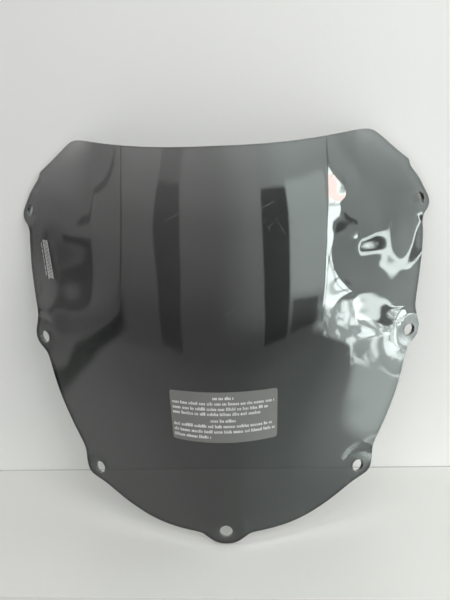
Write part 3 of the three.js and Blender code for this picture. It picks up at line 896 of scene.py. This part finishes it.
def window(bearing, rise):
    """The opening, whose sides lean, and the share left by the bars across it."""
    above, higher, below = (rise - 9.0).max(0.0), (rise - 16.0).max(0.0), (rise * -1.0).max(0.0)
    left = 51.5 + 0.8 * above + 1.2 * higher - 1.5 * below
    right = (63.0 + 0.36 * (7.0 - rise).max(0.0) + 0.15 * (rise - 7.0).max(0.0)
             + 2.0 * higher - 2.5 * below).min(73.4)
    pane = ((bearing - left).step(-1.0, 1.0) * (right - bearing).step(-0.35, 0.35)
            * rise.span(-5.5, 21.5, soft=0.8))
    # one level bar and two that slope opposite ways
    bars = (1.0 - 0.45 * rise.span(13.6, 15.2, soft=0.5)
            - 0.4 * (rise + (bearing - 58.0) * 0.5).span(2.0, 3.4, soft=0.4)
            - 0.55 * (rise - (bearing - 58.0) * 0.4).span(-1.6, -0.6, soft=0.3))
    return pane, bars


def dark_shapes(glow, bearing, rise):
    # frames, which draw the thin lines along the creases
    glow = darken(glow, 0.55, (bearing + 55.0).span(-5.0, 5.0, soft=2.0), rise.step(-6, 2))
    glow = darken(glow, 0.45, (bearing + 82.0).span(-1.7, 1.7, soft=0.8),
                  rise.span(9.0, 22.0, soft=2.0))
    glow = darken(glow, 0.50, (bearing - 70.0).span(-6.0, 6.0, soft=2.0),
                  rise.span(21.8, 27.0, soft=0.8))
    # a gap just past the window
    glow = darken(glow, 0.75, (bearing - 65.6).span(-0.9, 1.2, soft=0.5),
                  rise.span(4.6, 7.4, soft=0.8))
    # furniture low on the left
    slope = -7.0 + (bearing + 50.0) * 0.5
    glow = darken(glow, 0.9, (rise - slope).span(-4, 4, soft=2), bearing.span(-86, -47, soft=3))
    return darken(glow, 0.6, bearing.span(-95, -76, soft=2.0), rise.span(-0.5, 3.2, soft=1.0))


def sill_and_floor(glow, bearing, rise, direction):
    tree = rise.tree
    # a bright sill along the right wall, dark boards under it
    past, short = (bearing - 80.0).max(0.0), (bearing - 80.0).min(0.0)
    sill = rise - (-1.7 + 0.30 * short + 0.12 * past + 0.006 * past * past)
    glow = brighten(glow, 0.46, sill.span(-0.9, 1.0, soft=0.5), bearing.span(66, 106, soft=2.0))
    glow = darken(glow, 0.65, sill.span(-5.0, -1.2, soft=0.5), bearing.span(75, 104, soft=2.0))
    # the lit floor and its clutter low on the right, running down to the near edge
    blobs = add(tree, "ShaderNodeTexNoise", Scale=11.0, Detail=2.5, Roughness=0.55,
                Distortion=0.6, Vector=direction)
    clutter = Value(tree, blobs.outputs[0]).step(0.44, 0.62)
    floor_line = (bearing - 42.0) * -0.38 - 13.0 - 7.0 * bearing.step(60.5, 63.5)
    lit = (bearing.step(36, 46) * (rise - floor_line.max(-26.0)).step(-1.0, 1.5)
           * (rise + 5.2 + 1.0 * bearing.step(70, 76)).step(1.5, 0.0))
    glow = glow + ((0.18 + 0.50 * clutter) * lit * (0.5 + 0.5 * bearing.step(44, 52))
                   * (0.55 + 0.45 * rise.step(-24, -14))
                   * (1.0 - 0.5 * bearing.step(84, 100)) * bearing.step(118, 96))
    return glow + (0.12 * bearing.step(62, 66) * bearing.step(112, 88)
                   * rise.span(-33, -25.5, soft=1.5))


def build_world():
    world = bpy.data.worlds.new("room")
    bpy.context.scene.world = world
    tree = empty_tree(world)
    direction = add(tree, "ShaderNodeTexCoord").outputs["Generated"]
    x, y, z = separate(tree, direction)
    degrees = 180 / math.pi
    bearing = maths(tree, "ARCTAN2", x, y * -1.0) * degrees
    rise = maths(tree, "ARCSINE", z) * degrees
    glow = room_walls(bearing, rise)
    pane, bars = window(bearing, rise)
    glow = brighten(glow, 0.74, pane, bars)
    glow = dark_shapes(glow, bearing, rise)
    glow = sill_and_floor(glow, bearing, rise, direction)
    # both ways round meet in one even, softly shaded wall behind the object
    side = 1.0 - 0.35 * abs(bearing).step(60, 120)
    side = side * (1.0 - 0.20 * bearing.step(84, 98))
    rear = abs(bearing).step(112, 160)
    far = 0.050 + 0.035 * rise.step(-10, 35) - 0.018 * rise.step(-6, -40)
    glow = (glow * side * (1.0 - rear) + far * rear) / REFLECT
    # cooler towards the right, reddish at the top of the window
    tint = mix_colour(tree, bearing.step(-10, 30) * (1.0 - rear),
                      (1.0, 1.0, 0.985), (0.93, 1.04, 1.01))
    tint = mix_colour(tree, pane * rise.span(17.0, 20.5, soft=0.5), tint, (1.08, 0.80, 0.74))
    room = add(tree, "ShaderNodeBackground", Strength=1.0, Color=scaled(tree, tint, glow))
    # all else gets plain soft light, a little stronger from above and from the right
    soft = add(tree, "ShaderNodeBackground", Color=(1.0, 1.0, 0.985),
               Strength=0.41 + 0.12 * z.step(-0.3, 0.9) + 0.22 * x.step(-0.6, 1.0))
    plain = add(tree, "ShaderNodeBackground", Color=(0.74, 0.745, 0.735), Strength=1.0)
    path = add(tree, "ShaderNodeLightPath")
    mixed = mix_shader(tree, path.outputs["Is Glossy Ray"], soft.outputs[0], room.outputs[0])
    mixed = mix_shader(tree, path.outputs["Is Camera Ray"], mixed, plain.outputs[0])
    finish_tree(tree, mixed, "ShaderNodeOutputWorld")
    world.cycles.sampling_method = "NONE"


build_world()

# ---------------------------------------------------------------------- lights
LIGHT_AIM = (0.0, 0.0, 0.15)


def soft_light(name, at, size, power, colour):
    data = bpy.data.lights.new(name, "AREA")
    data.shape = "RECTANGLE"
    data.size, data.size_y = size
    data.energy = power
    data.color = colour
    ob = bpy.data.objects.new(name, data)
    bpy.context.scene.collection.objects.link(ob)
    ob.location = at
    ob.rotation_euler = (Vector(LIGHT_AIM) - Vector(at)).to_track_quat("-Z", "Y").to_euler()
    ob.visible_glossy = False
    ob.visible_camera = False


soft_light("key", at=(1.25, -1.45, 1.25), size=(1.3, 1.3), power=18.5, colour=(1.0, 1.0, 0.985))
soft_light("fill", at=(-1.2, -1.6, 1.0), size=(1.4, 1.2), power=4.0, colour=(1.0, 0.995, 0.98))

# ---------------------------------------------------------------------- camera
PITCH, YAW, ROLL = (math.radians(a) for a in (14.0, -3.47, -2.16))  # pitch is downwards
CAMERA_AT = (0.0297, -0.4491, 0.2953)


def build_camera():
    ahead = Vector((math.sin(YAW) * math.cos(PITCH), math.cos(YAW) * math.cos(PITCH),
                    -math.sin(PITCH)))
    level_right = Vector((math.cos(YAW), -math.sin(YAW), 0.0))
    level_up = level_right.cross(ahead)
    right = math.cos(ROLL) * level_right + math.sin(ROLL) * level_up
    up = -math.sin(ROLL) * level_right + math.cos(ROLL) * level_up
    data = bpy.data.cameras.new("camera")
    data.sensor_width = 36.0
    data.lens = 34.8
    data.clip_start, data.clip_end = 0.02, 50.0
    ob = bpy.data.objects.new("camera", data)
    bpy.context.scene.collection.objects.link(ob)
    rows = [(right[i], up[i], -ahead[i], CAMERA_AT[i]) for i in range(3)]
    ob.matrix_world = Matrix((*rows, (0, 0, 0, 1)))
    return ob


scene = bpy.context.scene
scene.camera = build_camera()
scene.view_settings.view_transform = "Standard"
scene.view_settings.look = "None"
scene.view_settings.exposure = 0.0
scene.view_settings.gamma = 1.0
scene.cycles.transparent_max_bounces = 16
